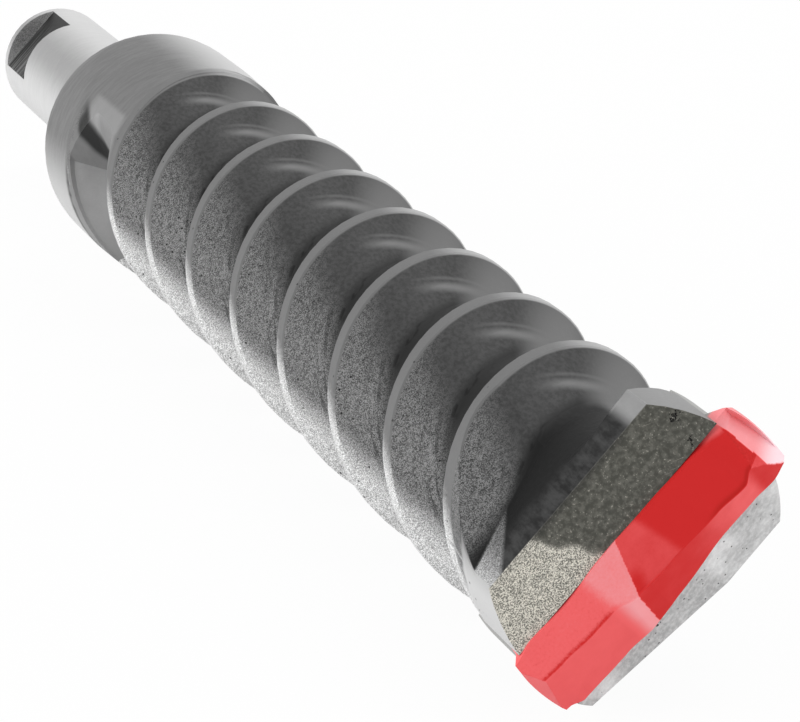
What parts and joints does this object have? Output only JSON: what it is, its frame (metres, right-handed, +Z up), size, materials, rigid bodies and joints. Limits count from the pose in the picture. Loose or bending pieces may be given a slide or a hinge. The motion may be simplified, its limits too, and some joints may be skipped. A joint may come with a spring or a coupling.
{
  "type": "masonry drill bit",
  "caption": "Steel twin-helix masonry drill bit with a round notched shank and a red hard metal plate brazed across the tip, lying on its side.",
  "frame": {"origin": "middle of the underside of the bit's box, as it lies on its side", "axes": "+X along the bit, from the shank to the tip; +Z up"},
  "size_m": [0.1484, 0.019, 0.019],
  "materials": {
    "steel": "shot-blasted, bare",
    "carbide": "red coat over ground hard metal"
  },
  "bodies": {
    "root": {"drill_body": "steel", "carbide_plate": "carbide"}
  },
  "joints": []
}
